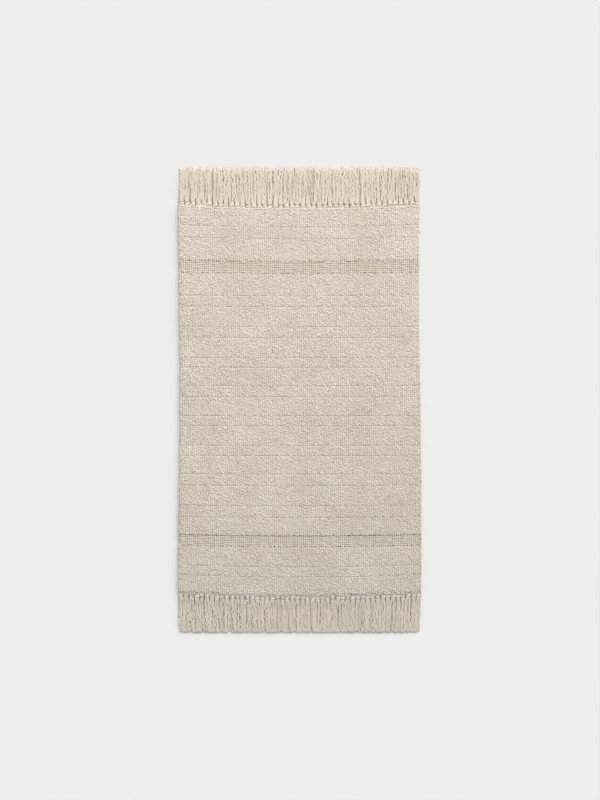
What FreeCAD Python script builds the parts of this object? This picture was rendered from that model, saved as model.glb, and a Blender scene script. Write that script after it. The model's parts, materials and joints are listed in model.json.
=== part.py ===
import FreeCAD, Part
import os

# Fringed cotton bath mat, lying flat with its pile upwards.
# +Z is up, +Y runs along the mat towards its head end and X runs across it.
# The origin is on the underside, at the middle of the mat's outer box.
# All sizes are in millimetres.

# Overall size
MAT_WIDTH = 600.0
OVERALL_LENGTH = 1165.0  # from the fringe tips at the head to those at the foot
HEAD_PILE_EDGE = 477.5  # where the pile stops at the head end, on the Y axis

# Layers
CLOTH_THICKNESS = 3.0  # woven ground cloth
PILE_TOP = 13.0  # cut pile, measured from the underside
BAND_TOP = 9.0  # flat-woven band, measured from the underside

# The mat from head to foot: widths of the pile courses and of the flat bands
HEAD_COURSES = [45.0, 30.0, 57.5]
HEAD_BAND_WIDTH = 27.5
CENTRE_COURSES_ABOVE_FOLD = [57.5, 27.5, 50.0, 27.5, 50.0, 24.0, 46.0, 27.5]
CENTRE_COURSES_BELOW_FOLD = [47.5, 25.0, 49.0, 25.0, 46.0, 29.0, 50.0, 29.0, 46.0]
FOOT_BAND_WIDTH = 25.0
FOOT_COURSES = [51.0, 25.0, 45.0]
COURSE_GAP = 1.0  # the groove between two neighbouring courses
COURSE_ROUNDING = 3.0  # rounding of a course's upper edges

# Edges
SELVEDGE_RADIUS = 1.5  # the doubled edge warps down each side
HEADER_LENGTH = 2.5  # the last heavy picks beyond the pile
HEADER_TOP = 9.0

# Middle fold: a hinge line across the mat, level with the pile tips
FOLD_CLEARANCE = 0.5  # width of the cut through the layers at the fold

# Knots and fringe
KNOTS_PER_GROUP = {"head": 11, "foot": 12}
KNOT_LENGTH = 12.0
KNOT_RADIUS = 6.0
KNOT_NECK_RADIUS = 3.2
TASSEL_WIDTH = 12.0
TASSEL_THICKNESS = 6.0
TASSEL_TIP_THICKNESS = 5.0
KNOT_TO_TASSEL_GAP = 0.3
GROUPS = ["far_left", "mid_left", "mid_right", "far_right"]

HALF_WIDTH = MAT_WIDTH / 2
HALF_LENGTH = OVERALL_LENGTH / 2
FOLD_Y = HEAD_PILE_EDGE - sum(HEAD_COURSES) - HEAD_BAND_WIDTH - sum(CENTRE_COURSES_ABOVE_FOLD)
FOOT_PILE_EDGE = (
    FOLD_Y - sum(CENTRE_COURSES_BELOW_FOLD) - FOOT_BAND_WIDTH - sum(FOOT_COURSES)
)

# Along Y, each half of the mat lies between its pile edge and the fold.
HALVES = {
    "head": (FOLD_Y + FOLD_CLEARANCE / 2, HEAD_PILE_EDGE),
    "foot": (FOOT_PILE_EDGE, FOLD_Y - FOLD_CLEARANCE / 2),
}
# Each end's pile edge, and the way that its fringe points along Y
ENDS = {"head": (HEAD_PILE_EDGE, 1.0), "foot": (FOOT_PILE_EDGE, -1.0)}


def box_between(low, high):
    """A box from its lowest corner to its highest."""
    size = [b - a for a, b in zip(low, high)]
    return Part.makeBox(*size, FreeCAD.Vector(*low))


def pile_course(y_low, y_high):
    """One course of cut pile: a slab on the cloth with its upper edges rounded over."""
    slab = box_between(
        (-HALF_WIDTH, y_low + COURSE_GAP / 2, CLOTH_THICKNESS),
        (HALF_WIDTH, y_high - COURSE_GAP / 2, PILE_TOP),
    )
    upper_edges = [edge for edge in slab.Edges if edge.BoundBox.ZMin > PILE_TOP - 0.01]
    return slab.makeFillet(COURSE_ROUNDING, upper_edges)


def flat_band(y_low, y_high):
    """One flat-woven band of heavy weft, lower than the pile on both sides of it."""
    return box_between(
        (-HALF_WIDTH, y_low, CLOTH_THICKNESS),
        (HALF_WIDTH, y_high, BAND_TOP),
    )


def ground_cloth(y_low, y_high):
    """Half of the woven ground cloth, between the two selvedges."""
    reach = HALF_WIDTH - 2 * SELVEDGE_RADIUS
    return box_between((-reach, y_low, 0.0), (reach, y_high, CLOTH_THICKNESS))


def selvedge(side, y_low, y_high):
    """The round bundle of edge warps along one side of one half; side is -1 or 1."""
    start = FreeCAD.Vector(side * (HALF_WIDTH - SELVEDGE_RADIUS), y_low, SELVEDGE_RADIUS)
    return Part.makeCylinder(SELVEDGE_RADIUS, y_high - y_low, start, FreeCAD.Vector(0, 1, 0))


def header_strip(pile_edge, way):
    """The last heavy picks, which lock the pile and carry the knots."""
    ends = sorted([pile_edge, pile_edge + way * HEADER_LENGTH])
    return box_between((-HALF_WIDTH, ends[0], 0.0), (HALF_WIDTH, ends[1], HEADER_TOP))


def knot(x, pile_edge, way):
    """One overhand knot in a bundle of warp ends: a barrel turned about the bundle."""
    inner = pile_edge + way * HEADER_LENGTH
    outer = inner + way * KNOT_LENGTH
    middle = (inner + outer) / 2
    axis_start = FreeCAD.Vector(x, inner, KNOT_RADIUS)
    axis_end = FreeCAD.Vector(x, outer, KNOT_RADIUS)
    neck = FreeCAD.Vector(x, inner, KNOT_RADIUS + KNOT_NECK_RADIUS)
    crown = FreeCAD.Vector(x, middle, 2 * KNOT_RADIUS)
    mouth = FreeCAD.Vector(x, outer, KNOT_RADIUS + KNOT_NECK_RADIUS)
    outline = Part.Wire([
        Part.makeLine(axis_start, neck),
        Part.Arc(neck, crown, mouth).toShape(),
        Part.makeLine(mouth, axis_end),
        Part.makeLine(axis_end, axis_start),
    ])
    return Part.Face(outline).revolve(axis_start, FreeCAD.Vector(0, 1, 0), 360)


def fringe_hinge_y(pile_edge, way):
    """The line that the fringe swings about, just outside the knots."""
    reach = HEADER_LENGTH + KNOT_LENGTH + KNOT_TO_TASSEL_GAP + TASSEL_THICKNESS / 2
    return pile_edge + way * reach


def tassel(x, pile_edge, way):
    """The loose strands below one knot: a flat bar with a round root on the hinge line."""
    root_radius = TASSEL_THICKNESS / 2
    hinge = fringe_hinge_y(pile_edge, way)
    tip = way * HALF_LENGTH
    left = x - TASSEL_WIDTH / 2
    root_low = FreeCAD.Vector(left, hinge, 0.0)
    root_back = FreeCAD.Vector(left, hinge - way * root_radius, root_radius)
    root_high = FreeCAD.Vector(left, hinge, TASSEL_THICKNESS)
    tip_high = FreeCAD.Vector(left, tip, TASSEL_TIP_THICKNESS)
    tip_low = FreeCAD.Vector(left, tip, 0.0)
    outline = Part.Wire([
        Part.Arc(root_low, root_back, root_high).toShape(),
        Part.makeLine(root_high, tip_high),
        Part.makeLine(tip_high, tip_low),
        Part.makeLine(tip_low, root_low),
    ])
    return Part.Face(outline).extrude(FreeCAD.Vector(TASSEL_WIDTH, 0, 0))


def group_centres(end, group_number):
    """The X positions of the knots in one quarter of an end's row, from left to right."""
    knots = KNOTS_PER_GROUP[end]
    pitch = MAT_WIDTH / (knots * len(GROUPS))
    first = group_number * knots
    return [-HALF_WIDTH + pitch * (first + n + 0.5) for n in range(knots)]


def lay_courses(nodes, field, widths, y_start, first_number=1):
    """Add a field's pile courses, from y_start towards the foot, and return where it ends."""
    y_high = y_start
    for number, width in enumerate(widths, first_number):
        nodes[f"pile_{field}_{number:02d}"] = pile_course(y_high - width, y_high)
        y_high -= width
    return y_high


def build_nodes():
    """Every piece of the mat, by node name."""
    nodes = {}

    for half, (y_low, y_high) in HALVES.items():
        nodes[f"ground_cloth_{half}"] = ground_cloth(y_low, y_high)
        nodes[f"selvedge_left_{half}"] = selvedge(-1, y_low, y_high)
        nodes[f"selvedge_right_{half}"] = selvedge(1, y_low, y_high)

    y = lay_courses(nodes, "head", HEAD_COURSES, HEAD_PILE_EDGE)
    nodes["flat_band_head"] = flat_band(y - HEAD_BAND_WIDTH, y)
    y -= HEAD_BAND_WIDTH
    y = lay_courses(nodes, "centre", CENTRE_COURSES_ABOVE_FOLD, y)
    courses_above = len(CENTRE_COURSES_ABOVE_FOLD)
    y = lay_courses(nodes, "centre", CENTRE_COURSES_BELOW_FOLD, y, courses_above + 1)
    nodes["flat_band_foot"] = flat_band(y - FOOT_BAND_WIDTH, y)
    y -= FOOT_BAND_WIDTH
    lay_courses(nodes, "foot", FOOT_COURSES, y)

    for end, (pile_edge, way) in ENDS.items():
        nodes[f"header_strip_{end}"] = header_strip(pile_edge, way)
        for group_number, group in enumerate(GROUPS):
            centres = group_centres(end, group_number)
            knots = [knot(x, pile_edge, way) for x in centres]
            tassels = [tassel(x, pile_edge, way) for x in centres]
            nodes[f"knots_{end}_{group}"] = Part.makeCompound(knots)
            nodes[f"fringe_{end}_{group}"] = Part.makeCompound(tassels)

    return nodes


os.makedirs("parts", exist_ok=True)
for name, shape in build_nodes().items():
    shape.exportStep(f"parts/{name}.step")
    print(name, "solids", len(shape.Solids), "valid", shape.isValid(), "mm3", round(shape.Volume))

print("fold line y", FOLD_Y, "foot pile edge", FOOT_PILE_EDGE)
for end, (pile_edge, way) in ENDS.items():
    print(end, "fringe hinge y", fringe_hinge_y(pile_edge, way))
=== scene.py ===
import json
import math

import bpy
import numpy as np
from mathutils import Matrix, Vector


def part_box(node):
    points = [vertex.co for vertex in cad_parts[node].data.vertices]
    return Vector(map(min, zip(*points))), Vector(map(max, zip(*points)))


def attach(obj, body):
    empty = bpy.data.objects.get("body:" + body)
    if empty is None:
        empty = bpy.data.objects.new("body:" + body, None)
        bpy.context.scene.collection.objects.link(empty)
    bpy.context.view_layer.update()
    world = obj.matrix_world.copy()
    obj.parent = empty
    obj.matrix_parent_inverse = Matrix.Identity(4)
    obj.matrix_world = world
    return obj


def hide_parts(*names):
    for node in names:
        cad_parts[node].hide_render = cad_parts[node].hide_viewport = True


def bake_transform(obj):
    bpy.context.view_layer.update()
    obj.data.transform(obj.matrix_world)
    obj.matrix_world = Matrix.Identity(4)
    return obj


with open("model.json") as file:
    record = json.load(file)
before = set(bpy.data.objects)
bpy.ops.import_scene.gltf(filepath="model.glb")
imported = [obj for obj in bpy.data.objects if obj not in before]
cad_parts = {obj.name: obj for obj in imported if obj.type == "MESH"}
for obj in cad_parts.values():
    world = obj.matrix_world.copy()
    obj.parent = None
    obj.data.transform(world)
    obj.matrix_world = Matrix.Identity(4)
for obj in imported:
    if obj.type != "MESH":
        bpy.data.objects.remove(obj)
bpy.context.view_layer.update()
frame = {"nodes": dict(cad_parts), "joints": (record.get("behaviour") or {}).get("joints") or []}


# ---------------------------------------------------------------------------
# Camera, floor and studio light.
# The mat lies on a plain pale floor and is looked at from straight above.
# A low soft lamp at its upper right and an even white surround light it.

VIEW_LENGTH = 2.0  # metres of floor from the lower edge of the view to its upper edge
CAMERA_HEIGHT = 4.0
FLOOR_SIZE = 60.0
FLOOR_ALBEDO = 0.80
FLOOR_TONE = 0.855  # how bright the lit floor looks, and the backdrop with it
SURROUND = 0.62
LAMP_SOFTNESS = 50.0  # degrees across, as seen from the floor
LAMP_ELEVATION = 38.0
LAMP_BEARING = 27.0  # degrees from the mat's head end towards its right side
BACKDROP_RADIUS = 29.0
BACKDROP_HEIGHT = 12.0

camera_data = bpy.data.cameras.new("camera")
camera_data.sensor_width = 36.0
camera_data.lens = camera_data.sensor_width * CAMERA_HEIGHT / VIEW_LENGTH
camera = bpy.data.objects.new("camera", camera_data)
camera.location = (0.0, 0.0, CAMERA_HEIGHT)
bpy.context.scene.collection.objects.link(camera)
bpy.context.scene.camera = camera
bpy.context.scene.view_settings.view_transform = "Standard"

world = bpy.data.worlds.new("studio")
world.use_nodes = True
surround = world.node_tree.nodes["Background"]
surround.inputs["Color"].default_value = (SURROUND, SURROUND, SURROUND, 1.0)
bpy.context.scene.world = world

lamp_data = bpy.data.lights.new("soft_lamp", "SUN")
lamp_share = FLOOR_TONE / FLOOR_ALBEDO - SURROUND
lamp_data.energy = lamp_share * math.pi / math.sin(math.radians(LAMP_ELEVATION))
lamp_data.angle = math.radians(LAMP_SOFTNESS)
lamp = bpy.data.objects.new("soft_lamp", lamp_data)
lamp.rotation_mode = "XYZ"
lamp.rotation_euler = (
    -math.radians(90.0 - LAMP_ELEVATION),
    0.0,
    -math.radians(LAMP_BEARING),
)
bpy.context.scene.collection.objects.link(lamp)

floor_mesh = bpy.data.meshes.new("floor")
reach = FLOOR_SIZE / 2
floor_mesh.from_pydata(
    [(-reach, -reach, 0.0), (reach, -reach, 0.0), (reach, reach, 0.0), (-reach, reach, 0.0)],
    [],
    [(0, 1, 2, 3)],
)
floor = bpy.data.objects.new("floor", floor_mesh)
floor_paint = bpy.data.materials.new("floor_paint")
floor_paint.use_nodes = True
floor_shader = floor_paint.node_tree.nodes["Principled BSDF"]
floor_shader.inputs["Base Color"].default_value = (FLOOR_ALBEDO, FLOOR_ALBEDO, FLOOR_ALBEDO, 1.0)
floor_shader.inputs["Roughness"].default_value = 1.0
floor_shader.inputs["Specular IOR Level"].default_value = 0.0
floor_mesh.materials.append(floor_paint)
bpy.context.scene.collection.objects.link(floor)

# A pale wall far behind, seen only in low views, carries the floor's tone up to the horizon.
bpy.ops.mesh.primitive_cylinder_add(
    vertices=96,
    radius=BACKDROP_RADIUS,
    depth=BACKDROP_HEIGHT,
    end_fill_type="NOTHING",
    location=(0.0, 0.0, BACKDROP_HEIGHT / 2),
)
backdrop = bpy.context.object
backdrop.name = "backdrop"
backdrop_paint = bpy.data.materials.new("backdrop_paint")
backdrop_paint.use_nodes = True
backdrop_shader = backdrop_paint.node_tree.nodes["Principled BSDF"]
backdrop_shader.inputs["Base Color"].default_value = (0.0, 0.0, 0.0, 1.0)
backdrop_shader.inputs["Specular IOR Level"].default_value = 0.0
backdrop_shader.inputs["Emission Color"].default_value = (FLOOR_TONE, FLOOR_TONE, FLOOR_TONE, 1.0)
backdrop_shader.inputs["Emission Strength"].default_value = 1.0
backdrop.data.materials.append(backdrop_paint)
backdrop.visible_diffuse = False
backdrop.visible_glossy = False
backdrop.visible_shadow = False


# ---------------------------------------------------------------------------
# Ground cloth: the plain-woven cotton sheet that the pile stands on.
# It is one piece from end to end. Its weave shows on the underside.

MM = 0.001
WARP_PITCH = 5.13 * MM
WEFT_PITCH = 5.0 * MM
CLOTH_RELIEF = 0.8 * MM
BOW_AT_MIDDLE = 1.0 * MM
BOW_AT_ENDS = 8.5 * MM
SIDE_SPREAD = 0.5 * MM  # both sides stand a little wide of straight
LEFT_STRAY = 2.5 * MM
LEFT_STRAY_LENGTH = 0.88  # metres, for one wave down the left side
LEFT_STRAY_START = 0.02
RIGHT_STRAY = 3.2 * MM
RIGHT_STRAY_TURN = 5.0  # radians a metre
WEFT_SHARE = 0.6  # of the relief; the rest is the warp's
FOLD_REACH = 21.0 * MM  # courses within this of the fold line are attached to neither half

PATCHES_PER_METRE = 9.0
YARN_SHARE = 0.62  # how much each thing moves the cotton from its pale shade to its deep one
FIBRE_SHARE = 0.5
PATCH_SHARE = 0.75
DEPTH_BASE = 0.19
PAINTED_FALLOFF_TO_FOOT = (0.83, 0.83, 0.835)  # painted shade: the cotton is darkened towards the foot, standing in for light that falls off from the head


def laid(x, y, z):
    """The points of the flat pattern where they really lie on the floor.

    The middle of each row hangs towards the foot, more so near the ends, and the sides stray.
    """
    x, y, z = np.broadcast_arrays(x, y, z)
    bow = BOW_AT_MIDDLE + (BOW_AT_ENDS - BOW_AT_MIDDLE) * np.abs(y / pile_edge_head) ** 3
    left_wave = np.cos(2 * math.pi * (y - LEFT_STRAY_START) / LEFT_STRAY_LENGTH)
    left = SIDE_SPREAD - LEFT_STRAY * left_wave
    right = SIDE_SPREAD - RIGHT_STRAY * np.sin(RIGHT_STRAY_TURN * y)
    outward = np.where(x < 0, -left, right) * np.abs(x / half_width) ** 3
    return np.stack([x + outward, y + bow * ((x / half_width) ** 2 - 1.0 / 3.0), z], axis=-1)


def wander(along, seed, longest):
    """A smooth random wave between about -1 and 1, from four sines of falling length."""
    chance = np.random.default_rng(seed)
    total = np.zeros_like(along)
    for part in range(4):
        length = longest / 1.9**part
        total += 0.6**part * np.sin(along * (2 * math.pi / length) + chance.uniform(0, 7))
    return total / 1.7


def piece_from(name, points, faces, shades):
    """A smooth mesh object from arrays: points, faces with their corner counts, a shade per point."""
    mesh = bpy.data.meshes.new(name)
    corners = np.concatenate([f.ravel() for f in faces])
    counts = np.concatenate([np.full(len(f), f.shape[1]) for f in faces])
    starts = np.concatenate([[0], np.cumsum(counts)[:-1]])
    mesh.vertices.add(len(points))
    mesh.vertices.foreach_set("co", points.astype(np.float32).ravel())
    mesh.loops.add(len(corners))
    mesh.loops.foreach_set("vertex_index", corners.astype(np.int32))
    mesh.polygons.add(len(counts))
    mesh.polygons.foreach_set("loop_start", starts.astype(np.int32))
    mesh.polygons.foreach_set("use_smooth", np.ones(len(counts), bool))
    low, high = points.min(0), points.max(0)
    flat = ((points - low) / (high - low))[corners, :2]
    mesh.uv_layers.new(name="OFBake").data.foreach_set("uv", flat.astype(np.float32).ravel())
    # The shade per point is the yarn's own tone, with painted light and shade on some pieces.
    shade = mesh.attributes.new("yarn_tone_and_painted_light", "FLOAT", "POINT")
    shade.data.foreach_set("value", shades.astype(np.float32))
    mesh.update(calc_edges=True)
    piece = bpy.data.objects.new(name, mesh)
    bpy.context.scene.collection.objects.link(piece)
    return piece


class Socket:
    """One output of a shader node. Arithmetic on it adds Math nodes to the same tree."""

    def __init__(self, tree, output):
        self.tree = tree
        self.output = output

    def node(self, kind, settings, inputs, output=0):
        """Add a node: first its settings, then the values or links of its sockets."""
        made = self.tree.nodes.new(kind)
        for name, value in settings.items():
            setattr(made, name, value)
        for name, value in inputs.items():
            if isinstance(value, Socket):
                self.tree.links.new(value.output, made.inputs[name])
            else:
                made.inputs[name].default_value = value
        return Socket(self.tree, made.outputs[output])

    def maths(self, operation, first, second):
        return self.node("ShaderNodeMath", {"operation": operation}, {0: first, 1: second})

    def __add__(self, other):
        return self.maths("ADD", self, other)

    __radd__ = __add__

    def __sub__(self, other):
        return self.maths("SUBTRACT", self, other)

    def __rsub__(self, other):
        return self.maths("SUBTRACT", other, self)

    def __mul__(self, other):
        return self.maths("MULTIPLY", self, other)

    __rmul__ = __mul__


def cotton(name, pale, deep, grain, bump, sheen):
    """Matt cotton yarn between two shades, with fine fibres of the given grain in metres, and painted shade
    that darkens it towards the foot.
    """
    material = bpy.data.materials.new(name)
    material.use_nodes = True
    tree = material.node_tree
    shader = tree.nodes["Principled BSDF"]
    start = Socket(tree, None)
    place = start.node("ShaderNodeTexCoord", {}, {}, "Object")
    yarn = start.node("ShaderNodeAttribute", {"attribute_name": "yarn_tone_and_painted_light"}, {}, "Fac")
    fibres = start.node(
        "ShaderNodeTexNoise", {}, {"Vector": place, "Scale": 1 / grain, "Detail": 3.0}
    )
    patches = start.node(
        "ShaderNodeTexNoise", {}, {"Vector": place, "Scale": PATCHES_PER_METRE, "Detail": 2.0}
    )
    depth = YARN_SHARE * yarn + FIBRE_SHARE * (fibres - 0.5) + PATCH_SHARE * (patches - 0.5) + DEPTH_BASE
    tone = start.node(
        "ShaderNodeMix",
        {"data_type": "RGBA", "clamp_factor": True},
        {"Factor": depth, 6: (*pale, 1.0), 7: (*deep, 1.0)},
        2,
    )
    along = start.node("ShaderNodeSeparateXYZ", {}, {"Vector": place}, "Y")
    # Painted shade: the colour darkens towards the foot, standing in for light that falls off there.
    footward = 0.5 - 0.5 * along * (1 / pile_edge_head)
    painted_falloff = start.node(
        "ShaderNodeMix",
        {"data_type": "RGBA", "blend_type": "MULTIPLY"},
        {"Factor": footward, 6: tone, 7: (*PAINTED_FALLOFF_TO_FOOT, 1.0)},
        2,
    )
    raised = start.node(
        "ShaderNodeBump", {}, {"Strength": bump, "Distance": grain, "Height": fibres}
    )
    tree.links.new(painted_falloff.output, shader.inputs["Base Color"])
    tree.links.new(raised.output, shader.inputs["Normal"])
    tree.links.new((0.86 + 0.12 * fibres).output, shader.inputs["Roughness"])
    shader.inputs["Specular IOR Level"].default_value = 0.2
    shader.inputs["Sheen Weight"].default_value = sheen
    shader.inputs["Sheen Roughness"].default_value = 0.6
    return material


cloth_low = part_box("ground_cloth_foot")[0]
cloth_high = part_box("ground_cloth_head")[1]
half_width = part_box("pile_head_01")[1].x
pile_edge_head = cloth_high.y
pile_edge_foot = cloth_low.y
fold_y = (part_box("ground_cloth_foot")[1].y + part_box("ground_cloth_head")[0].y) / 2

across = round((cloth_high.x - cloth_low.x) / WARP_PITCH) * 2
down = round((cloth_high.y - cloth_low.y) / WEFT_PITCH) * 2
grid_x, grid_y = np.meshgrid(
    np.linspace(cloth_low.x, cloth_high.x, across + 1),
    np.linspace(cloth_low.y, cloth_high.y, down + 1),
)
between_wefts = (np.arange(down + 1) % 2)[:, None]
over_warp = np.add.outer(np.arange(down + 1) // 2, np.arange(across + 1) // 2) % 2
relief = CLOTH_RELIEF * (WEFT_SHARE * between_wefts + (1 - WEFT_SHARE) * over_warp)
underside = laid(grid_x, grid_y, relief).reshape(-1, 3)
index = np.arange(len(underside)).reshape(down + 1, across + 1)
under_faces = np.stack(
    [index[:-1, :-1], index[1:, :-1], index[1:, 1:], index[:-1, 1:]], axis=-1
).reshape(-1, 4)
left_rim, right_rim = index[:, 0], index[:, -1]
upper = np.concatenate([underside[left_rim], underside[right_rim]])
upper[:, 2] = cloth_high.z
upper_left = len(underside) + np.arange(down + 1)
upper_right = upper_left + down + 1
upper_faces = np.stack([upper_left[:-1], upper_right[:-1], upper_right[1:], upper_left[1:]], axis=-1)
left_wall = np.stack([left_rim[:-1], upper_left[:-1], upper_left[1:], left_rim[1:]], axis=-1)
right_wall = np.stack([right_rim[1:], upper_right[1:], upper_right[:-1], right_rim[:-1]], axis=-1)
foot_wall = np.concatenate([index[0], [upper_right[0], upper_left[0]]])[None, :]
head_wall = np.concatenate([index[-1][::-1], [upper_left[-1], upper_right[-1]]])[None, :]
weft_shades = np.random.default_rng(3).normal(0.5, 0.22, down // 2 + 1)[np.arange(down + 1) // 2]
ground_cloth = piece_from(
    "ground_cloth",
    np.concatenate([underside, upper]),
    [under_faces, upper_faces, left_wall, right_wall, foot_wall, head_wall],
    np.concatenate([np.repeat(weft_shades, across + 1), weft_shades, weft_shades]),
)
ground_cloth.data.shade_flat()
ground_yarn = cotton("ground_yarn", (0.72, 0.645, 0.55), (0.60, 0.525, 0.43), 1.2 * MM, 0.5, 0.1)
ground_cloth.data.materials.append(ground_yarn)
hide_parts("ground_cloth_head", "ground_cloth_foot")
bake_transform(ground_cloth)


# ---------------------------------------------------------------------------
# Selvedges: the doubled edge warps down each side, twisted into a round cord.
# The weft turns round them.

SELVEDGE_RING_STEP = 2.5 * MM
SELVEDGE_TURN = 11.0 * MM  # length of one turn of the twist
SELVEDGE_HEIGHT = 1.15  # in radii, so that the plies of the twist clear the floor


def twisted_cords(paths, radii, turns, sides, lobes, lean_from, lobe_depth=0.16):
    """Twisted yarns along several paths at once.

    paths is (cords, rings, 3) and radii and turns are (cords, rings). The section has a lobe for
    each ply. lean_from is a direction that no path runs along. Returns points and faces.
    """
    tangent = np.gradient(paths, axis=1)
    tangent /= np.linalg.norm(tangent, axis=-1, keepdims=True)
    side = np.cross(tangent, lean_from)
    side /= np.linalg.norm(side, axis=-1, keepdims=True)
    up = np.cross(side, tangent)
    cords, rings = radii.shape
    angle = np.arange(sides) * (2 * math.pi / sides)
    section = 1.0 + lobe_depth * np.cos(lobes * (angle - 2 * math.pi * turns[..., None]))
    reach_out = radii[..., None] * section
    ring_points = (
        paths[:, :, None, :]
        + side[:, :, None, :] * (reach_out * np.cos(angle))[..., None]
        + up[:, :, None, :] * (reach_out * np.sin(angle))[..., None]
    )
    points = ring_points.reshape(-1, 3)
    index = np.arange(len(points)).reshape(cords, rings, sides)
    wrapped = np.roll(index, -1, axis=2)
    walls = np.stack(
        [index[:, :-1], wrapped[:, :-1], wrapped[:, 1:], index[:, 1:]], axis=-1
    ).reshape(-1, 4)
    caps = np.concatenate([index[:, 0, ::-1], index[:, -1]])
    return points, [walls, caps]


for side_name, side_sign in [("left", -1.0), ("right", 1.0)]:
    low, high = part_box(f"selvedge_{side_name}_foot")
    radius = (high.x - low.x) / 2
    rings = round((pile_edge_head - pile_edge_foot) / SELVEDGE_RING_STEP)
    run = np.linspace(pile_edge_foot, pile_edge_head, rings)
    path = laid(side_sign * (half_width - radius), run, radius * SELVEDGE_HEIGHT)
    points, faces = twisted_cords(
        path[None],
        np.full((1, rings), radius),
        run[None] / SELVEDGE_TURN,
        8,
        2,
        (0.0, 0.0, 1.0),
    )
    selvedge = piece_from(
        f"selvedge_{side_name}", points, faces, 0.5 + 0.4 * wander(points[:, 1], 5, 0.2)
    )
    selvedge.data.materials.append(ground_yarn)
    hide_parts(f"selvedge_{side_name}_head", f"selvedge_{side_name}_foot")
    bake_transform(selvedge)


# ---------------------------------------------------------------------------
# Cut pile: short cotton tufts, set in courses across the mat and sheared level.
# Each tuft is a soft twisted stub with a domed, uneven top. Where two courses
# meet, the tufts part and leave a thin line that comes and goes.

ROW_PITCH = 4.2 * MM
TUFT_ACROSS = 2.35 * MM  # a tuft's radius across the mat
TUFT_ALONG = 3.0 * MM
TUFT_SIDES = 8
TUFT_RINGS = [(0.0, 0.75), (0.65, 0.97), (0.85, 1.0), (0.95, 0.72), (0.99, 0.36)]  # height, radius
TUFT_ROOT = 3.0 * MM
TUFT_TOP = 12.7 * MM
GROOVE_WIDEST = 0.8 * MM
GAP_ABOVE_BAND = {3: -0.8 * MM, 20: 0.9 * MM}  # by the number of the line, from the head
OVERHANG = 0.4 * MM  # of the pile at every other line beside a band or a header
SHORT_TUFTS = 0.04  # the share of tufts that sit lower than the rest
SHORT_BY = 1.6 * MM
PACKED_TOP = 11.0 * MM  # below this height the yarns stand too close for any gap
PACKED_STATIONS = 61
PACKED_INSET = 1.5 * MM
SAME_LINE = 1 * MM  # two lines closer than this are one
OUT_OF_COLUMN = 0.6 * MM
COLUMN_DRIFT = 0.6 * MM
SHIFT_AT_LINES = 0.25  # the columns are out of step with each other, less so beside a line
OUT_OF_ROW = 1.1 * MM
OUT_OF_OPEN_ROW = 0.4  # the share of that beside an open line
SIDE_DROP = 0.4 * MM  # the pile rounds over down both sides
END_DROP = 0.7 * MM  # and less where it meets a band or a header
SHOULDER_WIDTH = 8.0 * MM
LEAN = 0.4 * MM
RIM_UNEVEN = 0.12 * MM
CROWN_RISE = 0.1 * MM
TOPS_UNEVEN = 0.35 * MM
SHORT_SWELL = 0.12 * MM
LONG_SWELL = 0.15 * MM

heights = np.array([ring[0] for ring in TUFT_RINGS])
widths = np.array([ring[1] for ring in TUFT_RINGS])


def tufts(crowns, chance):
    """Closed stubs standing on the cloth, with their crowns at the given points.

    Returns the points, the faces and how many points each stub has.
    """
    count = len(crowns)
    tops = crowns[:, 2]
    rings = len(TUFT_RINGS)
    angle = np.arange(TUFT_SIDES) * (2 * math.pi / TUFT_SIDES)
    turn = chance.uniform(0, 2 * math.pi, (count, 1, 1)) + 1.2 * heights[None, :, None]
    lobes = 1.0 + 0.10 * np.cos(3 * angle + 3 * turn)
    uneven = 1.0 + chance.normal(0, 0.07, (count, rings, TUFT_SIDES))
    spread = chance.normal(1.0, 0.08, (count, 1, 1)) * widths[None, :, None]
    reach_out = spread * lobes * uneven
    lean = chance.normal(0, LEAN, (count, 1, 2)) * heights[None, :, None] ** 1.5
    height = TUFT_ROOT + (tops[:, None] - TUFT_ROOT) * heights
    x = crowns[:, 0, None, None] + lean[..., :1] + TUFT_ACROSS * reach_out * np.cos(angle)
    y = crowns[:, 1, None, None] + lean[..., 1:] + TUFT_ALONG * reach_out * np.sin(angle)
    z = height[..., None] + chance.normal(0, RIM_UNEVEN, (count, rings, TUFT_SIDES))
    z[:, 0] = TUFT_ROOT
    body = np.stack([x, y, z], axis=-1).reshape(count, -1, 3)
    middle = crowns + np.pad(lean[:, -1], ((0, 0), (0, 1)), constant_values=CROWN_RISE)
    points = np.concatenate([body, middle[:, None]], axis=1)
    ring_index = np.arange(rings * TUFT_SIDES).reshape(rings, TUFT_SIDES)
    wrapped = np.roll(ring_index, -1, axis=1)
    walls = np.stack(
        [ring_index[:-1], wrapped[:-1], wrapped[1:], ring_index[1:]], axis=-1
    ).reshape(-1, 4)
    top = np.full(TUFT_SIDES, rings * TUFT_SIDES)
    crown_faces = np.stack([ring_index[-1], wrapped[-1], top], axis=-1)
    base = ring_index[:1, ::-1]
    offset = (np.arange(count) * points.shape[1])[:, None, None]
    faces = [(f[None] + offset).reshape(-1, f.shape[1]) for f in (walls, crown_faces, base)]
    return points.reshape(-1, 3), faces, points.shape[1]


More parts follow.
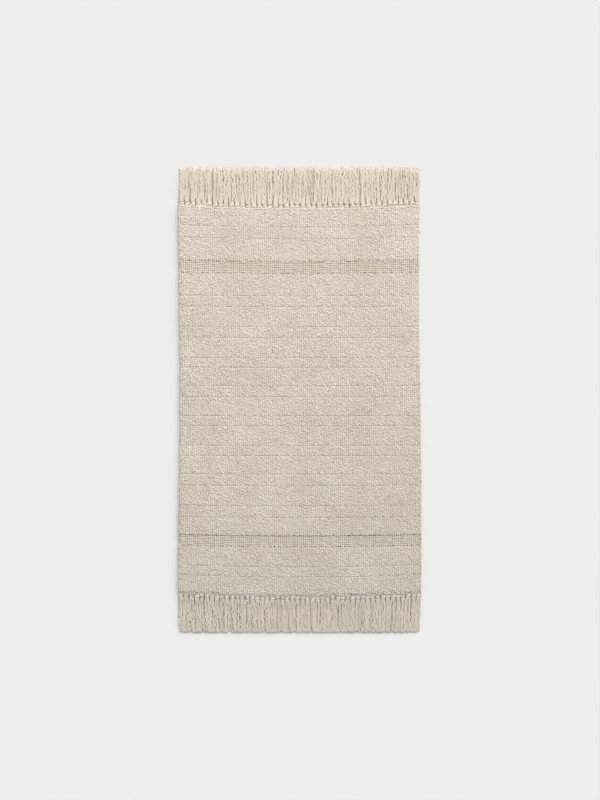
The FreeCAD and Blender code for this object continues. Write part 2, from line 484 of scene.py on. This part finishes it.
def packed_body(low, high):
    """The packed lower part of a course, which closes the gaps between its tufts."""
    inset_low, inset_high = [
        PACKED_INSET if np.abs(line - open_lines).min() < SAME_LINE else -0.5 * MM
        for line in (low.y, high.y)
    ]
    steps = max(4, round((high.y - low.y) / (5 * MM)))
    y = np.linspace(low.y + inset_low, high.y - inset_high, steps)
    x = np.linspace(PACKED_INSET - half_width, half_width - PACKED_INSET, PACKED_STATIONS)
    from_end = np.abs(y[:, None] - open_lines).min(axis=1)
    top = PACKED_TOP - END_DROP * np.clip(1 - from_end / SHOULDER_WIDTH, 0, 1)
    side = np.clip(1 - (half_width - np.abs(x)) / SHOULDER_WIDTH, 0, 1)
    top = top[None] - SIDE_DROP * side[:, None]
    ring_y = np.broadcast_to(np.concatenate([y, y[::-1]]), (len(x), 2 * steps))
    ring_z = np.concatenate([top, np.full_like(top, TUFT_ROOT)], axis=1)
    points = laid(x[:, None], ring_y, ring_z).reshape(-1, 3)
    index = np.arange(len(points)).reshape(len(x), 2 * steps)
    wrapped = np.roll(index, -1, axis=1)
    walls = np.stack([index[:-1], index[1:], wrapped[1:], wrapped[:-1]], axis=-1).reshape(-1, 4)
    return points, [walls, index[:1], index[-1:, ::-1]]


def course_line(x, y, number, below):
    """The line between two courses: where it runs, and half the gap there, which comes and goes."""
    if np.abs(y - open_lines).min() < SAME_LINE:
        return y, GAP_ABOVE_BAND.get(number, -OVERHANG) if below else -OVERHANG
    shown = 0.3 + 0.6 * wander(x, 100 + number, 0.3) + 0.6 * wander(x, 130 + number, 0.03)
    strays = 0.7 * wander(x, 150 + number, 0.3) + 0.35 * wander(x, 180 + number, 0.05)
    return y + strays * MM, GROOVE_WIDEST / 2 * np.clip(shown, 0.0, 1.0)


def pile_course(node, number):
    """One course of tufts between the two grooves beside it."""
    chance = np.random.default_rng(1000 + number)
    low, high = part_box(node)
    rows = max(3, round((high.y - low.y) / ROW_PITCH))
    columns = round(2 * half_width / WARP_PITCH)
    row = np.repeat(np.arange(rows), columns)
    column = np.tile(np.arange(columns), rows)
    x = -half_width + (column + 0.5) * (2 * half_width / columns)
    drift = COLUMN_DRIFT * wander(0.02 * column + low.y, 7, 0.5)
    x = x + OUT_OF_COLUMN * chance.normal(0, 1.0, len(x)) + drift
    x = x * (1 - max(0.0, TUFT_ACROSS - WARP_PITCH / 2) / half_width)
    line_below, gap_below = course_line(x, low.y, number + 1, below=True)
    line_above, gap_above = course_line(x, high.y, number, below=False)
    foot_side = line_below + gap_below + ROW_PITCH / 2
    head_side = line_above - gap_above - ROW_PITCH / 2
    shift = chance.uniform(-0.5, 0.5, columns)[column]
    shift = shift * (
        SHIFT_AT_LINES + (1 - SHIFT_AT_LINES) * np.sin(math.pi * row / (rows - 1)) ** 0.5
    )
    y = foot_side + (head_side - foot_side) * (row + shift) / (rows - 1)
    gap = np.where(row == 0, gap_below, np.where(row == rows - 1, gap_above, -OVERHANG))
    unruly = np.where(gap > 0.1 * MM, OUT_OF_OPEN_ROW, 1.0)
    y = y + unruly * OUT_OF_ROW * chance.normal(0, 1.0, len(y))
    from_side = half_width - np.abs(x)
    from_end = np.abs(y[:, None] - open_lines).min(axis=1)
    drop = SIDE_DROP * np.clip(1 - from_side / SHOULDER_WIDTH, 0, 1) ** 2
    drop = drop + END_DROP * np.clip(1 - from_end / SHOULDER_WIDTH, 0, 1) ** 2
    swell = SHORT_SWELL * wander(x + 2 * y, 11, 0.09) + LONG_SWELL * wander(x - 3 * y, 12, 0.2)
    tops = TUFT_TOP + swell + TOPS_UNEVEN * chance.normal(0, 1.0, len(x)) - drop
    tops = tops - SHORT_BY * (chance.uniform(0, 1, len(x)) < SHORT_TUFTS)
    points, faces, each = tufts(laid(x, y, tops), chance)
    body_points, body_faces = packed_body(low, high)
    faces = faces + [f + len(points) for f in body_faces]
    points = np.concatenate([points, body_points])
    shades = np.repeat(chance.normal(0.5, 0.3, len(x)), each)
    shades = shades + chance.normal(0, 0.4, len(shades))
    # The packed body shows only in the pits and lines between the tufts, and its deeper colour there is
    # painted shade.
    shades = np.concatenate([shades, np.full(len(body_points), 0.9)])
    piece = piece_from(node.replace("pile_", "tufts_"), points, faces, shades)
    piece.data.materials.append(pile_yarn)
    return piece


open_lines = np.array(
    [pile_edge_head, pile_edge_foot]
    + [corner.y for end in ("head", "foot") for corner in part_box(f"flat_band_{end}")]
)
pile_yarn = cotton("pile_yarn", (0.865, 0.783, 0.686), (0.672, 0.589, 0.496), 1.0 * MM, 0.6, 0.25)
pile_nodes = sorted(
    (name for name in frame["nodes"] if name.startswith("pile_")),
    key=lambda name: -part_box(name)[1].y,
)
for number, node in enumerate(pile_nodes):
    piece = pile_course(node, number)
    low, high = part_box(node)
    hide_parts(node)
    if low.y - fold_y < FOLD_REACH and fold_y - high.y < FOLD_REACH:
        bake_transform(piece)
    else:
        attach(piece, "head_half" if low.y > fold_y else "foot_half")


# ---------------------------------------------------------------------------
# Flat-woven bands: heavy cotton weft over and under the warp, with no pile.
# Every crossing stands up as a small square bump with a dark hole beside it.

BAND_WEFTS = 6
BAND_RING_STEP = 1.3 * MM
WEFT_RISE = 1.3 * MM
WEFT_PINCH = 0.5
WEFT_RADIUS = 2.3 * MM
BAND_WARP_RADIUS = 1.5 * MM
BAND_CROWN = 0.9 * MM
WEFT_STRAY = 0.35 * MM
WARP_OVERLAP = 2 * MM  # how far the warps run on under the pile at each side
BAND_TURN = 9 * MM  # length of one turn of the twist
BAND_SEED = {"head": 44, "foot": 45}

band_yarn = cotton("band_yarn", (0.87, 0.785, 0.68), (0.75, 0.664, 0.556), 1.0 * MM, 0.6, 0.15)
for end in ["head", "foot"]:
    low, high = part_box(f"flat_band_{end}")
    chance = np.random.default_rng(BAND_SEED[end])
    warps = round(2 * half_width / WARP_PITCH)
    warp_step = 2 * half_width / warps
    weft_step = (high.y - low.y) / BAND_WEFTS

    rings = 4 * (warps - 1) + 1
    run = -half_width + warp_step * (0.5 + np.arange(rings) / 4)
    order = np.arange(BAND_WEFTS)[:, None]
    over_warp = np.cos(2 * math.pi * (run[None] + half_width) / warp_step + math.pi)
    over_warp = over_warp * (1 + 0.25 * wander(run[None] + order * 3.1, 51, 0.03))
    weft_y = low.y + (order + 0.5) * weft_step + WEFT_STRAY * wander(run[None] + order, 52, 0.12)
    wefts = laid(run, weft_y, high.z + BAND_CROWN - WEFT_RADIUS + WEFT_RISE * over_warp)
    weft_points, weft_faces = twisted_cords(
        wefts,
        WEFT_RADIUS * (1 + WEFT_PINCH * over_warp),
        run[None] / BAND_TURN + chance.uniform(0, 1, (BAND_WEFTS, 1)),
        10,
        2,
        (0.0, 0.0, 1.0),
    )

    rings = round((high.y - low.y + 2 * WARP_OVERLAP) / BAND_RING_STEP)
    run = np.linspace(low.y - WARP_OVERLAP, high.y + WARP_OVERLAP, rings)
    warp_x = -half_width + (np.arange(warps) + 0.5) * warp_step
    warp_paths = laid(warp_x[:, None], run[None], high.z - 2.2 * WEFT_RADIUS)
    warp_points, warp_faces = twisted_cords(
        warp_paths,
        np.full((warps, rings), BAND_WARP_RADIUS),
        run[None] / BAND_TURN + chance.uniform(0, 1, (warps, 1)),
        8,
        2,
        (0.0, 0.0, 1.0),
    )
    points = np.concatenate([weft_points, warp_points])
    faces = weft_faces + [f + len(weft_points) for f in warp_faces]
    band = piece_from(f"band_{end}", points, faces, 0.5 + 0.5 * wander(points[:, 0] * 9, 21, 0.2))
    band.data.materials.append(band_yarn)
    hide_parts(f"flat_band_{end}")
    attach(band, f"{end}_half")


# ---------------------------------------------------------------------------
# Header strips: the last heavy picks beyond the pile, twisted cords laid
# one on another across the mat, which lock the pile and carry the knots.

HEADER_RING_STEP = 2.2 * MM
HEADER_CORDS = 4
HEADER_TURN = 8 * MM
LOWEST_CORD = 1.35  # its height, in radii
CORD_FULLNESS = 1.15  # the cords press into each other

for end, way in [("head", 1.0), ("foot", -1.0)]:
    low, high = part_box(f"header_strip_{end}")
    radius = (high.y - low.y) / 2
    rings = round(2 * half_width / HEADER_RING_STEP)
    run = np.linspace(-half_width + radius, half_width - radius, rings)
    middle_y = (low.y + high.y) / 2
    levels = np.linspace(LOWEST_CORD * radius, high.z, HEADER_CORDS)[:, None]
    points, faces = twisted_cords(
        laid(run[None], middle_y, levels),
        np.full((HEADER_CORDS, rings), CORD_FULLNESS * radius),
        run[None] / HEADER_TURN + levels * 90,
        8,
        2,
        (0.0, 0.0, 1.0),
    )
    header = piece_from(f"header_{end}", points, faces, 0.5 + 0.4 * wander(points[:, 0], 31, 0.1))
    header.data.materials.append(band_yarn)
    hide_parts(f"header_strip_{end}")
    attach(header, f"{end}_half")


# ---------------------------------------------------------------------------
# Knots: each bundle of warp ends is tied in one overhand knot against the header.
# A knot is a core of warp ends with a thick wrap of the same yarn round it.

KNOTS_PER_GROUP = {"head": 11, "foot": 12}
USUAL_PITCH = 13.6 * MM  # the spacing at which a knot has its full size
WRAP_RINGS = 40
WRAP_SIDES = 9
WRAP_TURNS = 1.9
WRAP_RADIUS = 3.7 * MM
WRAP_YARN = 2.75 * MM
WRAP_SLANT = 1.9 * MM
TUCKED_ORBIT = 0.35  # where a wrap's two ends go in, as a share of its radius
CORE_RADIUS = 3.4 * MM
CORE_RINGS = 10
CORE_SIDES = 9
KNOT_FLATNESS = 0.65
KNOT_SNUG = 1.0 * MM  # how far the wraps ride up against the header
GATHERED_ENDS = 5
GATHERED_RADIUS = 1.8 * MM
GATHERED_RINGS = 8
GATHERED_SIDES = 8
GATHERED_TOP = 7.0 * MM
GATHERED_FALL = 3.5 * MM
KNOTS_ACROSS = 0.7 * MM  # how far the knots sit out of line, across the mat and along it
KNOTS_ALONG = 1.5 * MM
KNOT_TONE_AND_PAINTED_LIGHT = {"head": 0.35, "foot": -0.2}  # the knots' usual tone; the knots at the foot are painted paler, painted light that lifts the pile's shadow off them
GROUPS = ["far_left", "mid_left", "mid_right", "far_right"]

knot_yarn = cotton("knot_yarn", (0.85, 0.772, 0.676), (0.74, 0.66, 0.56), 0.9 * MM, 0.6, 0.2)


def knot_places(node, knots):
    """A group's knots: x and y of their centres on the bowed header, their length and their pitch."""
    low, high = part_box(node)
    pitch = (high.x - low.x - (high.z - low.z)) / (knots - 1)
    x = low.x + (high.z - low.z) / 2 + pitch * np.arange(knots)
    places = laid(x, (low.y + high.y) / 2, 0.0)
    return places[:, 0], places[:, 1], high.y - low.y, pitch


for end, way in [("head", 1.0), ("foot", -1.0)]:
    in_group = KNOTS_PER_GROUP[end]
    for group_number, group in enumerate(GROUPS):
        chance = np.random.default_rng(60 + group_number + (4 if end == "foot" else 0))
        x, y, length, pitch = knot_places(f"knots_{end}_{group}", in_group)
        size = np.clip(chance.normal(1.05, 0.07, in_group), 0.9, 1.16)[:, None]
        size = pitch / USUAL_PITCH * size
        x = (x + chance.normal(0, KNOTS_ACROSS, in_group))[:, None]
        y = (y + chance.normal(0, KNOTS_ALONG, in_group))[:, None]
        hand = chance.choice([-1.0, 1.0], (in_group, 1))
        share = np.linspace(0, 1, WRAP_RINGS)[None]
        turned = hand * 2 * math.pi * WRAP_TURNS * share + chance.uniform(0, 7, (in_group, 1))
        tucked = np.clip(np.minimum(share, 1 - share) * 8, 0, 1)
        orbit = size * WRAP_RADIUS * (TUCKED_ORBIT + 0.25 * tucked + 0.4 * np.sin(share * math.pi))
        slant = WRAP_SLANT * np.sin(turned + 1.0)
        middle_z = size * (KNOT_FLATNESS * WRAP_RADIUS + 1.16 * WRAP_YARN) + 0.1 * MM
        wraps = np.stack([
            x + orbit * np.cos(turned),
            y + way * ((share - 0.5) * (length - 2 * WRAP_YARN) * 0.95 - KNOT_SNUG) + slant,
            middle_z + KNOT_FLATNESS * orbit * np.sin(turned),
        ], axis=-1)
        wrap_points, wrap_faces = twisted_cords(
            wraps,
            size * WRAP_YARN * (0.6 + 0.4 * tucked),
            share * 3 + x * 90,
            WRAP_SIDES,
            3,
            (0.0, 1.0, 0.0),
        )
        core_share = np.linspace(-0.62, 0.6, CORE_RINGS)[None]
        cores = np.stack([
            x + 0 * core_share,
            y + way * core_share * length,
            middle_z * (1 - 0.35 * np.abs(core_share)),
        ], axis=-1)
        core_points, core_faces = twisted_cords(
            cores,
            size * CORE_RADIUS * (1 - 0.6 * core_share**2),
            core_share * 1.5 + x * 50,
            CORE_SIDES,
            3,
            (0.0, 0.0, 1.0),
        )
        place = np.arange(GATHERED_ENDS) - (GATHERED_ENDS - 1) / 2
        drawn_in = np.linspace(0, 1, GATHERED_RINGS)[None]
        start_x = (x + place * pitch / GATHERED_ENDS).reshape(-1, 1)
        knot_x = np.repeat(x, GATHERED_ENDS, axis=0) + np.tile(place, len(x))[:, None] * MM
        knot_y = np.repeat(y, GATHERED_ENDS, axis=0)
        gathered = np.stack([
            start_x + 0.45 * (knot_x - start_x) * drawn_in**2,
            knot_y - way * length * (0.75 - drawn_in),
            GATHERED_TOP - GATHERED_FALL * drawn_in + 0 * knot_x,
        ], axis=-1)
        end_points, end_faces = twisted_cords(
            gathered,
            np.full(gathered.shape[:2], GATHERED_RADIUS),
            1.5 * drawn_in + knot_x * 70,
            GATHERED_SIDES,
            2,
            (0.0, 0.0, 1.0),
        )
        points = np.concatenate([wrap_points, core_points, end_points])
        faces = wrap_faces + [f + len(wrap_points) for f in core_faces]
        faces = faces + [f + len(wrap_points) + len(core_points) for f in end_faces]
        # The foot knots' paler tone is painted light against the shadow the pile casts on them.
        yarns = np.clip(chance.normal(KNOT_TONE_AND_PAINTED_LIGHT[end], 0.2, (2 + GATHERED_ENDS) * in_group), -0.3, 1)
        points_in_each = np.repeat(
            [WRAP_RINGS * WRAP_SIDES, CORE_RINGS * CORE_SIDES, GATHERED_RINGS * GATHERED_SIDES],
            [in_group, in_group, in_group * GATHERED_ENDS],
        )
        knots = piece_from(
            f"tied_knots_{end}_{group}", points, faces, np.repeat(yarns, points_in_each)
        )
        knots.data.materials.append(knot_yarn)
        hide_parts(f"knots_{end}_{group}")
        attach(knots, f"{end}_half")


# ---------------------------------------------------------------------------
# Fringe: the warp ends below each knot, left as loose twisted cotton strands.
# They fan out a little, lie on the floor and on each other, and are cut level.

STRANDS_BELOW = 5
STRANDS_ABOVE = 6
STRANDS_IN_TASSEL = STRANDS_BELOW + STRANDS_ABOVE
STRAND_RADIUS = 1.75 * MM
STRAND_RINGS = 64
STRAND_SIDES = 8
STRAND_TURN = 9.0 * MM
STRAND_WAVES = [(5, 12, 0.9), (14, 26, 1.0), (34, 56, 1.0), (70, 100, 0.6)]  # radians, mm
UPPER_ROOTS = 0.62  # the upper strands leave the knot this much closer together
FANNING = 6  # the higher, the sooner a tassel has its full width
ROOT_HEIGHT = 3.0 * MM
ROOT_RISE = 4.8 * MM  # of the upper layer, at the knot
LAYER_RISE = 3.0 * MM  # of the upper layer, on the floor
STRAND_LIFT = 0.45 * MM
FRAYED_FROM = 0.95
UNEVEN_CUT = 5.5 * MM  # how much shorter the shortest strands are, nearly all of the time
CORNER_CUT = 3.0 * MM  # and the outermost ones besides
SIDE_TUCK = 4.0 * MM  # how far the outermost tassels lean in

fringe_yarn = cotton("fringe_yarn", (0.87, 0.785, 0.672), (0.70, 0.612, 0.505), 0.8 * MM, 0.6, 0.2)
for end, way in [("head", 1.0), ("foot", -1.0)]:
    joint = next(j for j in frame["joints"] if j["name"] == f"{end}_fringe_lift")
    hinge_y = joint["pos_m"][1]
    in_group = KNOTS_PER_GROUP[end]
    for group_number, group in enumerate(GROUPS):
        chance = np.random.default_rng(80 + group_number + (4 if end == "foot" else 0))
        knot_x, knot_y, length, pitch = knot_places(f"knots_{end}_{group}", in_group)
        low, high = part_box(f"fringe_{end}_{group}")
        tip_y = high.y if way > 0 else low.y
        count = in_group * STRANDS_IN_TASSEL
        below = (np.arange(STRANDS_BELOW) + 0.5) / STRANDS_BELOW - 0.5
        above = (np.arange(STRANDS_ABOVE) + 0.5) / STRANDS_ABOVE - 0.5
        place = np.tile(np.concatenate([below, above]), in_group)
        layer = np.tile(np.repeat([0.0, 1.0], [STRANDS_BELOW, STRANDS_ABOVE]), in_group)
        root_x = np.repeat(knot_x, STRANDS_IN_TASSEL) + place * pitch * np.where(layer > 0, UPPER_ROOTS, 1.0)
        root_y = np.repeat(knot_y, STRANDS_IN_TASSEL) + way * length * (0.4 * layer - 0.1)
        fan_x = np.repeat(knot_x, STRANDS_IN_TASSEL) + place * pitch
        fan_x = fan_x + (0.5 + 1.3 * layer) * MM * chance.normal(0, 1.0, count)
        end_y = tip_y - way * np.abs(chance.normal(0, UNEVEN_CUT / 2, count))
        end_y = end_y - way * CORNER_CUT * np.abs(fan_x / half_width) ** 30
        share = np.append(np.linspace(0, 1, STRAND_RINGS - 1), 1.001)[None]
        layer = layer[:, None]
        fanned = 1 - (1 - np.clip(share, 0, 1)) ** FANNING
        wave = sum(
            size
            * np.sin(
                share * chance.uniform(least, most, (count, 1)) + chance.uniform(0, 7, (count, 1))
            )
            for least, most, size in STRAND_WAVES
        )
        wave = (0.35 + 0.75 * layer) * MM * share**0.4 * wave
        lean = (0.9 + 1.9 * layer) * MM * chance.normal(0, 1.0, (count, 1)) * share**2
        tassel_lean = 1.8 * MM * chance.normal(0, 1.0, in_group)
        tassel_lean = tassel_lean - SIDE_TUCK * np.sign(knot_x) * np.abs(knot_x / half_width) ** 12
        lean = lean + np.repeat(tassel_lean, STRANDS_IN_TASSEL)[:, None] * share
        curl = 2.0 * MM * chance.normal(0, 1.0, (count, 1)) * share**10
        x = root_x[:, None] + (fan_x - root_x)[:, None] * fanned + wave + lean + curl
        y = root_y[:, None] + (end_y - root_y)[:, None] * share
        radius = STRAND_RADIUS * (1 - 0.1 * layer) * chance.normal(1.0, 0.1, (count, 1))
        frayed = np.clip((share - FRAYED_FROM) / (1 - FRAYED_FROM), 0, 1)
        radius = radius * (1.0 - 0.5 * frayed**2)
        lift = STRAND_LIFT * (1 + np.sin(share * 9 + chance.uniform(0, 7, (count, 1))))
        stacked = LAYER_RISE * layer * (1 - np.clip(share, 0, 1) ** 6)
        rest_z = 1.3 * radius + 0.1 * MM + stacked + lift * (1 - frayed)
        root_z = ROOT_HEIGHT + ROOT_RISE * layer
        dropped = np.clip(share / 0.3, 0, 1)
        dropped = dropped * dropped * (3 - 2 * dropped)
        z = root_z + (rest_z - root_z) * dropped
        points, faces = twisted_cords(
            np.stack([x, y, z], axis=-1),
            radius,
            share * (np.abs(end_y - root_y) / STRAND_TURN)[:, None] + chance.uniform(0, 1, (count, 1)),
            STRAND_SIDES,
            2,
            (0.0, 0.0, 1.0),
            lobe_depth=0.26,
        )
        # The cut tips are paler: partly the frayed ends' own look, partly painted light against the shade at
        # the cut.
        shades = chance.normal(0.5, 0.28, (count, 1)) - 0.7 * np.clip((share - 0.85) / 0.15, 0, 1)
        # The roots by the knots and the whole lower layer are darker: painted shade.
        shades = shades + 0.15 * np.clip(1 - share / 0.25, 0, 1) + 0.6 * (1 - layer)
        shades = np.repeat(np.clip(shades, -0.3, 1.3).ravel(), STRAND_SIDES)
        strands = piece_from(f"strands_{end}_{group}", points, faces, shades)
        strands.data.materials.append(fringe_yarn)
        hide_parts(f"fringe_{end}_{group}")
        hinge_y - way * 5 * MM
        hinge_y + way * 9 * MM
        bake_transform(strands)
